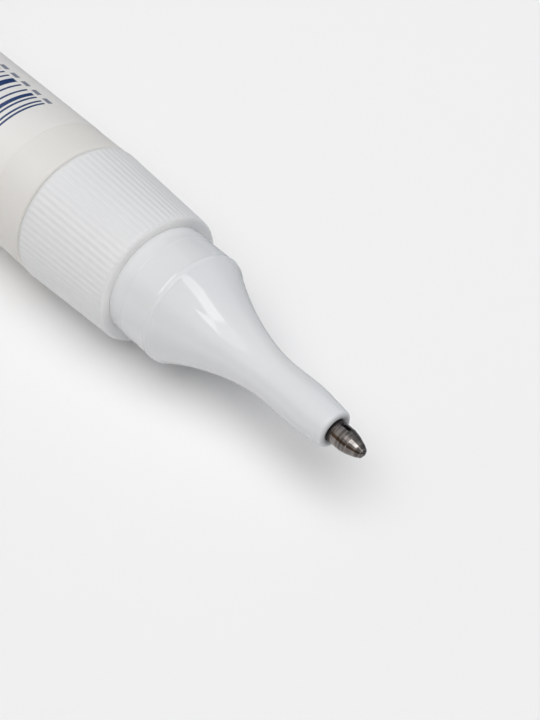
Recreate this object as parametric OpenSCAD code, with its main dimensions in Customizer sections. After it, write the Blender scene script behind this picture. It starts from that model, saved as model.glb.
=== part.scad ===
// Correction pen: squeeze bottle, screw collar, nozzle with a spring-valve metal tip, posted cap.
// Each piece is drawn upright along the pen's axis, with z = 0 at the collar's rear face and
// the tip upwards. One module then lays the piece along +X with the pen resting on z = 0.

/* [Bottle] */
// Outside radius of the squeeze bottle
bottle_r = 9.0; // [8.8:0.1:10]
// Length of the full-width part of the bottle
bottle_len = 70; // [50:1:90]
// Wall thickness of the bottle
bottle_wall = 1.1; // [0.8:0.1:1.5]
// Rounding of the bottle's front and rear edges
bottle_round = 0.6; // [0.3:0.1:1]
// Thickness of the closed rear end
base_wall = 1.2; // [0.8:0.1:2]
// Length of the rear post that takes the cap
post_len = 7; // [5:0.5:7]
// Chamfer on the end of the rear post
post_chamfer = 0.5; // [0.2:0.1:0.8]
// How much the rear post narrows towards its end
post_draft = 0.1; // [0.05:0.05:0.3]
// Slope of the inside of the bottle towards the neck and the post, along the axis
inner_slope = 2.5; // [1.5:0.5:4]

/* [Label] */
// Distance from the collar to the label's front edge
label_setback = 5.9; // [3:0.1:10]
// Length of the label film
label_len = 58; // [30:1:60]
// Thickness of the label film
label_t = 0.08; // [0.05:0.01:0.12]

/* [Fill] */
// Height of the fluid's level above the pen's axis when the pen lies down
fill_level = 2.4; // [0:0.2:5]
// Radius of the steel mixing ball
mix_ball_r = 2.5; // [1.5:0.1:3]
// Distance of the mixing ball behind the collar at rest
mix_ball_back = 38; // [30:1:42]

/* [Collar] */
// Length of the screw collar
collar_len = 14.16; // [13:0.02:16]
// How far the collar's rear edge stands out beyond the bottle
collar_proud = 0.14; // [0.05:0.01:0.3]
// Outer wall of the collar at its front end, outside the thread
collar_front_wall = 0.38; // [0.36:0.01:0.5]
// Thickness of the collar's inward front wall
lip_t = 1.66; // [1.2:0.02:2]
// Rounding of the collar's front lip
lip_round = 0.25; // [0.2:0.05:1]
// Length of the smooth bands in front of and behind the grip ribs
rib_end = 0.2; // [0.15:0.05:1]
// Number of grip ribs
rib_count = 72; // [48:6:90]
// Depth of the grooves between the ribs
rib_depth = 0.1; // [0.08:0.01:0.2]
// Share of the rib pitch that a groove takes
rib_groove = 0.62; // [0.4:0.02:0.8]

/* [Thread] */
// Pitch of the collar's thread
thread_pitch = 3; // [2.6:0.1:3.2]
// Height of the thread
thread_h = 0.47; // [0.4:0.01:0.5]
// Turns of thread on the neck and in the collar
thread_turns = 1.25; // [1:0.25:1.5]
// Width of the thread ridge at its root
thread_root_w = 1.1; // [0.8:0.1:1.1]
// Width of the thread ridge at its crest
thread_crest_w = 0.6; // [0.4:0.1:0.8]
// Height of the first thread of the neck above the collar's rear face
thread_start = 2.6; // [2.3:0.1:3]

/* [Nozzle] */
// Radius of the smooth seat band that the cap fits over
seat_r = 7.02; // [6.8:0.02:7.2]
// Length of the seat band in front of the collar
seat_len = 5.98; // [5:0.02:7]
// Height of the bead at the front of the seat band
bead_h = 0.06; // [0.02:0.01:0.1]
// Length from the bead to the start of the bell
bead_len = 0.46; // [0.3:0.02:0.8]
// How much the bell starts inside the seat band
bell_step = 0.05; // [0.02:0.01:0.2]
// Length of the concave bell
bell_len = 13.8; // [12:0.1:16]
// Steep start of the bell: drop in radius
bell_drop = 0.45; // [0.3:0.05:0.8]
// Steep start of the bell: run along the axis
bell_run = 0.4; // [0.2:0.1:0.8]
// Reach of the bell's flat end along the axis
bell_reach = 6.4; // [4:0.1:8]
// Radius of the waist in front of the bell
waist_r = 2.58; // [2.4:0.02:3]
// Swell of the snout beyond the waist
snout_swell = 0.08; // [0:0.01:0.2]
// Length of the snout from the waist to its end
snout_len = 8.6; // [7:0.05:10]
// Length of the snout from the waist to its widest place
swell_len = 4.6; // [4:0.1:6]
// How much the snout narrows towards its end
snout_taper = 0.36; // [0.2:0.02:0.5]
// Rounding of the snout's end
snout_round = 0.6; // [0.4:0.05:0.7]
// Depth of the funnel round the tip's hole
funnel_depth = 0.4; // [0.2:0.05:0.6]
// Width of the flat rim between the funnel and the rounding
rim_w = 0.08; // [0.04:0.02:0.12]
// Wall of the nozzle's bell
nozzle_wall = 1.05; // [0.8:0.05:1.2]
// Thickness of the nozzle's flange
flange_t = 1.4; // [1:0.1:2]
// How much the nozzle narrows under the collar's lip
lip_relief = 0.1; // [0.05:0.01:0.2]
// Radial ledge of the flange behind the collar's lip
flange_ledge = 0.3; // [0.25:0.01:0.4]
// Length of the skirt that plugs the bottle's neck
skirt_len = 5.6; // [4:0.1:6]
// Wall of the skirt
skirt_wall = 0.9; // [0.7:0.1:1.2]
// Thickness of the sealing gasket
gasket_t = 0.8; // [0.5:0.1:1.2]
// Wall of the bottle's neck under the thread
neck_wall = 1.4; // [1.1:0.1:1.6]

/* [Tip] */
// Radius of the metal tip's shank
tip_r = 1.33; // [1.25:0.01:1.4]
// Length of the tip in front of the nozzle
tip_out = 3.97; // [3.5:0.01:5]
// Length of the shank inside the nozzle
tip_shank = 4.65; // [4:0.05:5]
// Length of the plain base in front of the nozzle, up to the turned groove
tip_base = 0.5; // [0.4:0.05:0.9]
// Depth and half width of the turned groove
tip_groove = 0.06; // [0.03:0.01:0.1]
// Length of the straight part in front of the nozzle, up to the cone
tip_straight = 1.65; // [1.4:0.05:2]
// Radius where the cone ends
tip_cone_r = 0.85; // [0.8:0.01:0.95]
// Radius of the crimped lip round the ball
tip_lip_r = 0.56; // [0.53:0.01:0.6]
// Length of the crimped lip
tip_lip_len = 0.55; // [0.4:0.05:0.7]
// Radius of the writing ball
ball_r = 0.5; // [0.45:0.01:0.52]
// Depth of the ball's centre behind the lip
ball_depth = 0.27; // [0.25:0.01:0.3]

/* [Valve] */
// Travel of the ball and rod when the tip is pressed
press_travel = 0.4; // [0.2:0.05:0.5]
// Radius of the valve chamber in the nozzle
chamber_r = 1.55; // [1.5:0.01:1.6]
// Radius of the push rod
rod_r = 0.36; // [0.3:0.01:0.4]
// Radius of the push rod's collar
rod_collar_r = 1.25; // [1.2:0.01:1.3]
// Thickness of the push rod's collar
rod_collar_t = 0.6; // [0.4:0.1:0.8]
// Length of the push rod's tail inside the spring
rod_tail = 1.8; // [1:0.1:2.2]
// Thickness of the spring retainer
retainer_t = 0.8; // [0.6:0.1:1.2]
// Mean radius of the spring's coils
spring_r = 1.0; // [0.95:0.01:1.05]
// Radius of the spring's wire
wire_r = 0.12; // [0.1:0.01:0.14]
// Length of the spring at rest
spring_len = 3.7; // [3.2:0.1:4]
// Turns of the spring
spring_turns = 5; // [4:1:6]

/* [Cap] */
// Wall of the cap
cap_wall = 1.15; // [1:0.05:1.3]
// How much the cap narrows towards its closed end
cap_taper = 0.7; // [0.3:0.1:1]
// Thickness of the cap's closed end
cap_end_wall = 1.5; // [1:0.1:2]
// Rounding of the closed end
cap_round = 1.4; // [0.8:0.1:1.5]
// Thickness of the soft tip seal in the closed end
seal_t = 4.5; // [4.3:0.1:6]
// Width of the pocket clip
clip_w = 4; // [3:0.2:4.2]
// Thickness of the pocket clip
clip_t = 1.2; // [1:0.1:1.3]
// Gap under the pocket clip
clip_gap = 1.1; // [0.8:0.1:1.2]
// Length of the pocket clip
clip_len = 24; // [18:1:26]
// Distance of the clip from the rounding of the closed end
clip_setback = 0.6; // [0.3:0.1:1.5]
// Length of the clip's root on the cap
clip_root = 4; // [3:0.5:6]
// Height of the nub under the clip's free end
clip_nub = 0.7; // [0.4:0.1:0.8]

/* [Fits] */
// Gap between the collar's rear face and the bottle
collar_gap = 0.15; // [0.1:0.01:0.3]
// Radial clearance of the seat band in the collar's lip
lip_clear = 0.1; // [0.05:0.01:0.1]
// Clearance that lets the flange pass through the collar's thread
pass_clear = 0.06; // [0.04:0.01:0.1]
// Radial clearance between the threads
thread_clear = 0.13; // [0.1:0.01:0.16]
// Radial clearance of the skirt in the neck
skirt_clear = 0.1; // [0.05:0.01:0.1]
// Axial clearance at the flange
flange_clear = 0.04; // [0.02:0.01:0.1]
// Radial clearance of the cap on the bead and on the post
cap_clear = 0.05; // [0.02:0.01:0.1]
// Clearance between fixed pieces that are pressed together
press_clear = 0.01; // [0.005:0.005:0.02]
// Clearance of the fluid and the mixing ball inside the bottle
fill_clear = 0.15; // [0.1:0.01:0.3]
// Clearance of the writing ball in the tip
ball_clear = 0.03; // [0.02:0.01:0.04]
// Clearance of the rod in the tip, which the fluid flows through
rod_clear = 0.24; // [0.18:0.01:0.3]
// Axial clearance at the ends of the spring, the rod and the cap's mouth
end_clear = 0.02; // [0.01:0.01:0.05]

/* [Hidden] */
$fn = 96;
// Overlap that joins shapes of one piece, and the margin of a cut beyond a face
bite = 0.3;
over = 1;
curve_steps = 24;
arc_steps = 8;

// Radii of the seat, the thread and the neck, from the inside outwards
bead_r = seat_r + bead_h;
lip_bore_r = seat_r + lip_clear;
flange_r = lip_bore_r + flange_ledge;
flange_room_r = flange_r + lip_clear;
thread_minor_r = flange_r + pass_clear;
thread_root_r = thread_minor_r + thread_h;
neck_r = thread_minor_r - thread_clear;
neck_crest_r = thread_root_r - thread_clear;
neck_bore_r = neck_r - neck_wall;
skirt_r = neck_bore_r - skirt_clear;
collar_rear_r = bottle_r + collar_proud;
collar_front_r = thread_root_r + collar_front_wall;
collar_slope = (collar_rear_r - collar_front_r) / collar_len;
bottle_bore_r = bottle_r - bottle_wall;
post_r = bead_r;
post_end_r = post_r - post_draft;
post_bore_r = post_r - bottle_wall;

// Heights along the axis
flange_top_z = collar_len - lip_t - flange_clear;
flange_z = flange_top_z - flange_t;
neck_z = flange_z - flange_clear - gasket_t;
skirt_z = flange_z - skirt_len;
edge_z = collar_len + seat_len;
bell_z = edge_z + bead_len;
waist_z = bell_z + bell_len;
snout_z = waist_z + snout_len;
tip_z = snout_z + tip_out;
shank_z = snout_z - tip_shank;
ball_z = tip_z - ball_depth;
ball_end_z = ball_z + ball_r;
rod_collar_z = shank_z - press_travel - rod_collar_t;
spring_z = rod_collar_z - end_clear - spring_len;
retainer_z = spring_z - end_clear - retainer_t;
shoulder_z = -collar_gap;
rear_z = shoulder_z - bottle_len;
post_z = rear_z - post_len;

// The cap covers everything in front of the collar, and the tip seal takes the metal tip
cap_seat_r = bead_r + cap_clear;
cap_mouth_r = cap_seat_r + cap_wall;
cap_depth = ball_end_z - collar_len + end_clear;
cap_len = cap_depth + cap_end_wall;
cap_end_r = cap_mouth_r - cap_taper;
cap_mouth_z = rear_z - end_clear;
seal_r = cap_bore_at(cap_depth) - press_clear;
seal_hole_r = tip_r + rod_clear;
clip_in_r = cap_mouth_r + clip_gap;
clip_turn = 45;

// The pen's middle stands over the origin and its widest ring rests on the ground
pen_mid = (ball_end_z + cap_mouth_z - cap_len) / 2;
axis_h = collar_rear_r;

function collar_r_at(z) = collar_rear_r - collar_slope * z;
function cap_bore_at(depth) = cap_seat_r - cap_taper * depth / cap_len;
function bezier(p, t) =
    pow(1 - t, 3) * p[0] + 3 * pow(1 - t, 2) * t * p[1] + 3 * (1 - t) * t * t * p[2] + pow(t, 3) * p[3];
function arc(centre, r, from, to) =
    [for (i = [0:arc_steps]) let(a = from + (to - from) * i / arc_steps) centre + r * [cos(a), sin(a)]];

// Concave bell from the bead to the waist, as radius and height
bell_pull = [[seat_r - bell_step, bell_z],
             [seat_r - bell_step - bell_drop, bell_z + bell_run],
             [waist_r, waist_z - bell_reach],
             [waist_r, waist_z]];
bell_curve = [for (i = [0:curve_steps]) bezier(bell_pull, i / curve_steps)];

// Snout: a slight swell from the waist, then a taper and a rounded end up to the rim
swell_r = waist_r + snout_swell;
rim_r = swell_r - snout_taper - snout_round;
swell_curve = [for (i = [1:arc_steps]) let(u = i / arc_steps)
               [waist_r + snout_swell * (1 - cos(180 * u)) / 2, waist_z + swell_len * u]];
round_curve = arc([rim_r, snout_z - snout_round], snout_round, 0, 90);

// Lays a piece that was drawn upright along +X, resting on the ground
module laid() {
    translate([-pen_mid, 0, axis_h]) rotate([0, 90, 0]) children();
}

// Turns the cap over onto the bottle's rear post, mouth towards the tip
module posted() {
    laid() translate([0, 0, cap_mouth_z]) rotate([180, 0, 0]) children();
}

// Helical ridge between a root radius and a crest radius, tapering out at both ends
module helix_ridge(root_r, crest_r, start_z) {
    ring_count = ceil(32 * thread_turns);
    fade = 4;
    function height(i) = min(1, (i + 0.5) / fade, (ring_count - i + 0.5) / fade);
    function ring(i) = let(
        a = 360 * thread_turns * i / ring_count,
        z = start_z + thread_pitch * thread_turns * i / ring_count,
        r = root_r + (crest_r - root_r) * height(i),
        sides = [[root_r, -thread_root_w / 2], [r, -thread_crest_w / 2],
                 [r, thread_crest_w / 2], [root_r, thread_root_w / 2]])
        [for (s = sides) [s[0] * cos(a), s[0] * sin(a), z + s[1]]];
    points = [for (i = [0:ring_count]) each ring(i)];
    last = 4 * ring_count;
    outwards = crest_r > root_r;
    sides = [for (i = [0:ring_count - 1], k = [0:3]) let(
                 a = 4 * i + k,
                 b = 4 * i + (k + 1) % 4,
                 quad = [a, b, b + 4, a + 4])
             each [[quad[0], quad[1], quad[2]], [quad[0], quad[2], quad[3]]]];
    ends = [[2, 1, 0], [3, 2, 0], [last, last + 1, last + 2], [last, last + 2, last + 3]];
    faces = concat(sides, ends);
    turned = [for (f = faces) [f[2], f[1], f[0]]];
    polyhedron(points = points, faces = outwards ? faces : turned, convexity = 6);
}

module bottle_outside() {
    polygon(concat(
        [[0, post_z], [post_end_r - post_chamfer, post_z], [post_end_r, post_z + post_chamfer],
         [post_r, rear_z]],
        arc([bottle_r - bottle_round, rear_z + bottle_round], bottle_round, -90, 0),
        arc([bottle_r - bottle_round, shoulder_z - bottle_round], bottle_round, 0, 90),
        [[neck_r, shoulder_z], [neck_r, neck_z], [0, neck_z]]));
}

// Inside of the bottle, drawn in by a clearance where the fluid takes its shape
module bottle_inside(clear, top_z) {
    polygon([
        [0, post_z + base_wall + clear],
        [post_bore_r - clear, post_z + base_wall + clear],
        [post_bore_r - clear, rear_z + bottle_wall],
        [bottle_bore_r - clear, rear_z + bottle_wall + inner_slope],
        [bottle_bore_r - clear, shoulder_z - bottle_wall - inner_slope],
        [neck_bore_r - clear, shoulder_z - bottle_wall],
        [neck_bore_r - clear, top_z],
        [0, top_z]]);
}

module bottle() {
    color("ivory") laid() {
        difference() {
            rotate_extrude() bottle_outside();
            rotate_extrude() bottle_inside(0, neck_z + over);
        }
        difference() {
            helix_ridge(neck_r - bite, neck_crest_r, thread_start);
            translate([0, 0, shoulder_z]) cylinder(r = neck_r - bite / 2, h = neck_z - shoulder_z);
        }
    }
}

module label_sleeve() {
    inner_r = bottle_r + press_clear;
    color("white") laid() translate([0, 0, -label_setback - label_len]) difference() {
        cylinder(r = inner_r + label_t, h = label_len);
        translate([0, 0, -over]) cylinder(r = inner_r, h = label_len + 2 * over);
    }
}

// Fluid at rest in the lying bottle, with a clear lane along the bottom for the mixing ball
module correction_fluid() {
    lane_x = bottle_bore_r - fill_clear - mix_ball_r;
    color("whitesmoke") laid() difference() {
        rotate_extrude() bottle_inside(fill_clear, skirt_z - fill_clear);
        translate([-2 * bottle_r - fill_level, -bottle_r, post_z])
            cube([2 * bottle_r, 2 * bottle_r, bottle_len + post_len + collar_len]);
        translate([lane_x, 0, post_z]) cylinder(r = mix_ball_r + 2 * fill_clear, h = skirt_z - post_z);
    }
}

module mixing_ball() {
    lane_x = bottle_bore_r - fill_clear - mix_ball_r;
    color("silver") laid() translate([lane_x, 0, -mix_ball_back]) sphere(r = mix_ball_r);
}

module neck_gasket() {
    color("lightgray") laid() translate([0, 0, neck_z]) difference() {
        cylinder(r = neck_r, h = gasket_t);
        translate([0, 0, -over]) cylinder(r = neck_bore_r, h = gasket_t + 2 * over);
    }
}

module nozzle_outside() {
    polygon(concat(
        [[0, skirt_z], [skirt_r, skirt_z], [skirt_r, flange_z], [flange_r, flange_z],
         [flange_r, flange_top_z], [seat_r - lip_relief, flange_top_z],
         [seat_r, collar_len + lip_clear],
         [seat_r, edge_z - bead_len], [bead_r, edge_z]],
        bell_curve, swell_curve, round_curve, [[0, snout_z]]));
}

module nozzle_inside() {
    skirt_bore_r = skirt_r - skirt_wall;
    bell_bore = [for (p = bell_curve) [max(chamber_r, p[0] - nozzle_wall), p[1]]];
    polygon(concat(
        [[0, skirt_z - over], [skirt_bore_r, skirt_z - over], [skirt_bore_r, flange_top_z]],
        bell_bore,
        [[chamber_r, shank_z], [tip_r + press_clear, shank_z], [tip_r + press_clear, snout_z - funnel_depth],
         [rim_r - rim_w, snout_z], [rim_r - rim_w, snout_z + over], [0, snout_z + over]]));
}

module nozzle() {
    color("white") laid() difference() {
        rotate_extrude() nozzle_outside();
        rotate_extrude() nozzle_inside();
    }
}

module collar_outside() {
    lip_r = collar_r_at(collar_len - lip_round) - lip_round;
    polygon(concat(
        [[0, 0], [collar_rear_r, 0]],
        arc([lip_r, collar_len - lip_round], lip_round, 0, 90),
        [[0, collar_len]]));
}

module collar_inside() {
    polygon([
        [0, -over], [thread_root_r, -over], [thread_root_r, neck_z], [flange_room_r, neck_z],
        [flange_room_r, collar_len - lip_t], [lip_bore_r, collar_len - lip_t],
        [lip_bore_r, collar_len + over], [0, collar_len + over]]);
}

// Straight V grooves that follow the collar's taper and leave the grip ribs between them
module rib_grooves() {
    groove_w = rib_groove * 2 * PI * collar_rear_r / rib_count;
    lean = atan(collar_slope);
    run = (collar_len - lip_round - 2 * rib_end) / cos(lean);
    for (i = [0:rib_count - 1])
        rotate([0, 0, 360 * i / rib_count])
            translate([collar_r_at(rib_end), 0, rib_end])
                rotate([0, -lean, 0])
                    linear_extrude(height = run)
                        polygon([[-rib_depth, 0], [rib_depth, -groove_w], [rib_depth, groove_w]]);
}

module screw_collar() {
    color("white") laid() {
        difference() {
            rotate_extrude() collar_outside();
            rotate_extrude() collar_inside();
            rib_grooves();
        }
        intersection() {
            helix_ridge(thread_root_r + bite, thread_minor_r, thread_start - thread_pitch / 2);
            cylinder(r = thread_root_r + bite / 2, h = neck_z);
        }
    }
}

module tip_outside() {
    groove_z = snout_z + tip_base;
    polygon([
        [0, shank_z], [tip_r, shank_z], [tip_r, groove_z - tip_groove], [tip_r - tip_groove, groove_z],
        [tip_r, groove_z + tip_groove], [tip_r, snout_z + tip_straight],
        [tip_cone_r, tip_z - tip_lip_len], [tip_lip_r, tip_z], [0, tip_z]]);
}

module tip_inside() {
    chamber = ball_r + ball_clear;
    seat_z = ball_z + ball_clear;
    mouth_r = chamber - 3 * ball_clear;
    bore = rod_r + rod_clear;
    polygon([
        [0, shank_z - over], [bore, shank_z - over], [bore, ball_z - ball_r - press_travel],
        [chamber, ball_z - ball_r - press_travel], [chamber, seat_z], [mouth_r, tip_z],
        [mouth_r, tip_z + over], [0, tip_z + over]]);
}

module tip_cone() {
    color("dimgray") laid() difference() {
        rotate_extrude() tip_outside();
        rotate_extrude() tip_inside();
    }
}

module writing_ball() {
    color("gray") laid() translate([0, 0, ball_z]) sphere(r = ball_r);
}

module push_rod() {
    rod_end_z = ball_z - ball_r - press_clear;
    tail_r = spring_r - wire_r - rod_clear;
    color("silver") laid() {
        translate([0, 0, rod_collar_z]) cylinder(r = rod_r, h = rod_end_z - rod_collar_z);
        translate([0, 0, rod_collar_z]) cylinder(r = rod_collar_r, h = rod_collar_t);
        translate([0, 0, rod_collar_z - rod_tail]) cylinder(r = tail_r, h = rod_tail + rod_collar_t);
    }
}

// Compression spring swept along a helix whose end turns lie closer together
module valve_spring() {
    per_turn = 16;
    sides = 6;
    rings = per_turn * spring_turns;
    rise = spring_len - 2 * wire_r;
    function lift(u) = u - sin(360 * u) / 9;
    function ring(i) = let(u = i / rings, a = 360 * spring_turns * u, z = spring_z + wire_r + rise * lift(u))
        [for (k = [0:sides - 1]) let(b = 360 * k / sides, r = spring_r + wire_r * cos(b))
         [r * cos(a), r * sin(a), z + wire_r * sin(b)]];
    points = [for (i = [0:rings]) each ring(i)];
    tube = [for (i = [0:rings - 1], k = [0:sides - 1]) let(
                a = sides * i + k,
                b = sides * i + (k + 1) % sides)
            each [[a, b + sides, b], [a, a + sides, b + sides]]];
    ends = [[for (k = [0:sides - 1]) k], [for (k = [sides - 1:-1:0]) sides * rings + k]];
    color("silver") laid() polyhedron(points = points, faces = concat(tube, ends), convexity = 10);
}

// Disc pressed into the chamber, with a hole in the middle and three flow notches
module spring_retainer() {
    disc_r = chamber_r - press_clear;
    hole_r = spring_r - wire_r - rod_clear / 2;
    color("white") laid() translate([0, 0, retainer_z]) difference() {
        cylinder(r = disc_r, h = retainer_t);
        translate([0, 0, -over]) cylinder(r = hole_r, h = retainer_t + 2 * over);
        for (i = [0:2])
            rotate([0, 0, 120 * i]) translate([disc_r, 0, -over])
                cylinder(r = disc_r / 4, h = retainer_t + 2 * over);
    }
}

// Pocket clip: a strap that stands off the cap, on a root near the closed end
module pocket_clip() {
    end_z = cap_len - cap_round - clip_setback;
    root_z = end_z - clip_root;
    free_z = end_z - clip_len;
    root_r = cap_mouth_r - cap_taper - cap_wall / 2;
    nub_w = clip_t;
    rotate([0, 0, clip_turn]) {
        translate([clip_in_r, -clip_w / 2, free_z]) cube([clip_t, clip_w, clip_len]);
        translate([root_r, -clip_w / 2, root_z]) cube([clip_in_r + clip_t - root_r, clip_w, clip_root]);
        translate([clip_in_r - clip_nub, -clip_w / 2, free_z]) cube([clip_nub + clip_t, clip_w, nub_w]);
    }
}

module cap_outside() {
    polygon(concat(
        [[0, 0], [cap_mouth_r, 0]],
        arc([cap_end_r - cap_round, cap_len - cap_round], cap_round, 0, 90),
        [[0, cap_len]]));
}

module cap_inside() {
    polygon([
        [0, -over], [cap_seat_r, -over], [cap_seat_r, post_len + over],
        [cap_bore_at(cap_depth), cap_depth], [0, cap_depth]]);
}

module cap_shell() {
    color("royalblue") posted() difference() {
        union() {
            rotate_extrude() cap_outside();
            pocket_clip();
        }
        rotate_extrude() cap_inside();
    }
}

// Soft plug in the closed end, with a socket that keeps the metal tip from drying
module cap_seal() {
    socket = ball_end_z - snout_z + end_clear;
    color("lightgray") posted() translate([0, 0, cap_depth - seal_t]) difference() {
        cylinder(r = seal_r, h = seal_t);
        translate([0, 0, -over]) cylinder(r = seal_hole_r, h = socket + over);
    }
}

bottle();
label_sleeve();
correction_fluid();
mixing_ball();
neck_gasket();
nozzle();
screw_collar();
tip_cone();
writing_ball();
push_rod();
valve_spring();
spring_retainer();
cap_shell();
cap_seal();
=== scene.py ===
# %% [markdown]
# # A correction pen on a pale table
# A correction pen is a soft bottle with a screw collar, a tapering nozzle and a metal tip that opens
# when it is pressed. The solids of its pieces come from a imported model, and this script gives them
# their surfaces, finishes and light.
# Sizes are in millimetres and go into the meshes in metres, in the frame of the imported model:
# +X runs along the pen towards the tip, +Z is up, and the pen lies on z = 0.

import bpy
import numpy as np
from mathutils import Matrix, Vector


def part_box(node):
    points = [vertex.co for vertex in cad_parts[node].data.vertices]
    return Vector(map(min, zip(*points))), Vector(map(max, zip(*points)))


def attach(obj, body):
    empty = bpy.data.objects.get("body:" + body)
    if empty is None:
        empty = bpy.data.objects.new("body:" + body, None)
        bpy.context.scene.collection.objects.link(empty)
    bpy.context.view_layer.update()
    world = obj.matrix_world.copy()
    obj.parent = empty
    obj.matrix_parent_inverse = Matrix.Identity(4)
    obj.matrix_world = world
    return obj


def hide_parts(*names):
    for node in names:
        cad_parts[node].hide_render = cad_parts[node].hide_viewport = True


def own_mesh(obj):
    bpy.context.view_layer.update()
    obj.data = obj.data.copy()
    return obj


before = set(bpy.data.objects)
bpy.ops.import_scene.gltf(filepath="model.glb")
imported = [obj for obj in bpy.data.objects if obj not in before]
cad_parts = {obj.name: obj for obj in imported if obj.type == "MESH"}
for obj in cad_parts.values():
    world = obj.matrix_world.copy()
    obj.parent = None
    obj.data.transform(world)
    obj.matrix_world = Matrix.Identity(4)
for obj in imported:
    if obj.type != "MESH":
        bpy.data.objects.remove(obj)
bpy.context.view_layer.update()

MM = 0.001
CLOSE = 0.01  # mm within which a point counts as lying on a radius
print("solids:", ", ".join(sorted(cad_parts)))

# %% [markdown]
# ## Stations along the pen
# Every piece but the cap's clip is round about one axis, so its place is a pair of distances along
# that axis. They could be typed in again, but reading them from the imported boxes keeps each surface
# on the solid that it stands for. The collar's rear edge is the zero of all these distances.

# %% Stations
axis_z = sum(corner.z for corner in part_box("bottle")) / 2 / MM
collar_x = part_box("screw_collar")[0].x / MM


def ends(node):
    """Where a node starts and ends on the axis, in millimetres in front of the collar's rear edge."""
    low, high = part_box(node)
    return low.x / MM - collar_x, high.x / MM - collar_x


post_back, neck_front = ends("bottle")
label_back, label_front = ends("label_sleeve")
collar_front = ends("screw_collar")[1]
skirt_back, snout_front = ends("nozzle")
shank_back, tip_front = ends("tip_cone")
ball_back, ball_front = ends("writing_ball")
cap_end, cap_mouth = ends("cap_shell")
print(f"axis {axis_z:.2f} mm above the table, collar 0 to {collar_front:.2f}, tip ends at {ball_front:.2f}")

# %% [markdown]
# ## Surfaces from profiles
# A moulded or turned piece is a profile carried round the axis. Blender's Spin or Screw tools could do
# it by hand, but here a profile is an array of points and the whole surface is one array formula, so
# that each rounding and each rib stays a number that can be changed.
# The first helper cuts a polyline into short, even steps. The second rounds its corners with true
# arcs, because a moulded edge is never sharp, and the bright line along it makes it look real.

# %% Profile helpers
def resample(path, spacing):
    """Points along a polyline. Each leg is cut into equal steps, none longer than spacing."""
    legs = np.diff(path, axis=0)
    cuts = np.maximum(1, np.ceil(np.hypot(*legs.T) / spacing)).astype(int)
    leg = np.repeat(np.arange(len(legs)), cuts)
    step = np.arange(cuts.sum()) - np.repeat(np.cumsum(cuts) - cuts, cuts)
    return np.vstack([path[leg] + legs[leg] * (step / cuts[leg])[:, None], path[-1]])


def unit(vectors):
    """Vectors of length one, along each row."""
    return vectors / np.maximum(np.linalg.norm(vectors, axis=1, keepdims=True), 1e-9)


def rounded(corners, steps=6):
    """A polyline with an arc at each corner, from rows of (x, r, arc radius).

    With h as half the angle between a corner's two legs, an arc of radius f touches the legs at
    f / tan h from the corner, and its centre lies f / sin h along the bisector. Between the two
    touching points the arc's radius turns evenly. A corner with f = 0 stays as it is."""
    corners = np.array(corners, float)
    place, radius = corners[:, :2], corners[:, 2:]
    back = unit(np.roll(place, 1, axis=0) - place)
    ahead = unit(np.roll(place, -1, axis=0) - place)
    half = np.arccos(np.clip((back * ahead).sum(1, keepdims=True), -1, 1)) / 2
    half = np.clip(half, 1e-4, np.pi / 2 - 1e-4)
    centre = place + unit(back + ahead) * radius / np.sin(half)
    start = (place + back * radius / np.tan(half) - centre)[:, None]
    stop = (place + ahead * radius / np.tan(half) - centre)[:, None]
    turn = (np.pi - 2 * half)[:, None]
    t = np.linspace(0, 1, steps + 1)[None, :, None]
    arcs = centre[:, None] + (np.sin((1 - t) * turn) * start + np.sin(t * turn) * stop) / np.sin(turn)
    path = arcs.reshape(-1, 2)
    apart = np.linalg.norm(np.diff(path, axis=0), axis=1) > 1e-5
    return path[np.r_[True, apart]]


def closed(path):
    """The same polyline with its first point repeated at the end."""
    return np.vstack([path, path[:1]])


print("a rounded square has", len(rounded([(0, 0, 1), (9, 0, 1), (9, 9, 1), (0, 9, 1)])), "points")

# %% [markdown]
# ## From a grid of points to a mesh
# A turned surface is a grid: one row for each point of the profile and one column for each angle.
# Angles start at the top of the lying pen and grow towards +Y. Two kinds of closed surface come from
# such a grid: a ring, whose last row joins its first, and a vessel, whose first and last rows are
# single points.

# %% Mesh helpers
def even_angles(count):
    """Angles that share a full turn evenly, without the closing one."""
    return np.arange(count) * 2 * np.pi / count


def turned(profile, angle, relief=None):
    """Grid of a profile (x, r) carried round the axis.

    At angle a, a profile point stands at (x, r sin a, axis height + r cos a). relief(x, r, a) gives a
    height that is added to r, such as a rib or a thread."""
    x, r = profile[:, :1], profile[:, 1:]
    if relief is not None:
        r = r + relief(x, r, angle[None, :])
    across, rise = r * np.sin(angle), axis_z + r * np.cos(angle)
    return np.stack([x + collar_x + 0 * across, across, rise], axis=-1)


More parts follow.
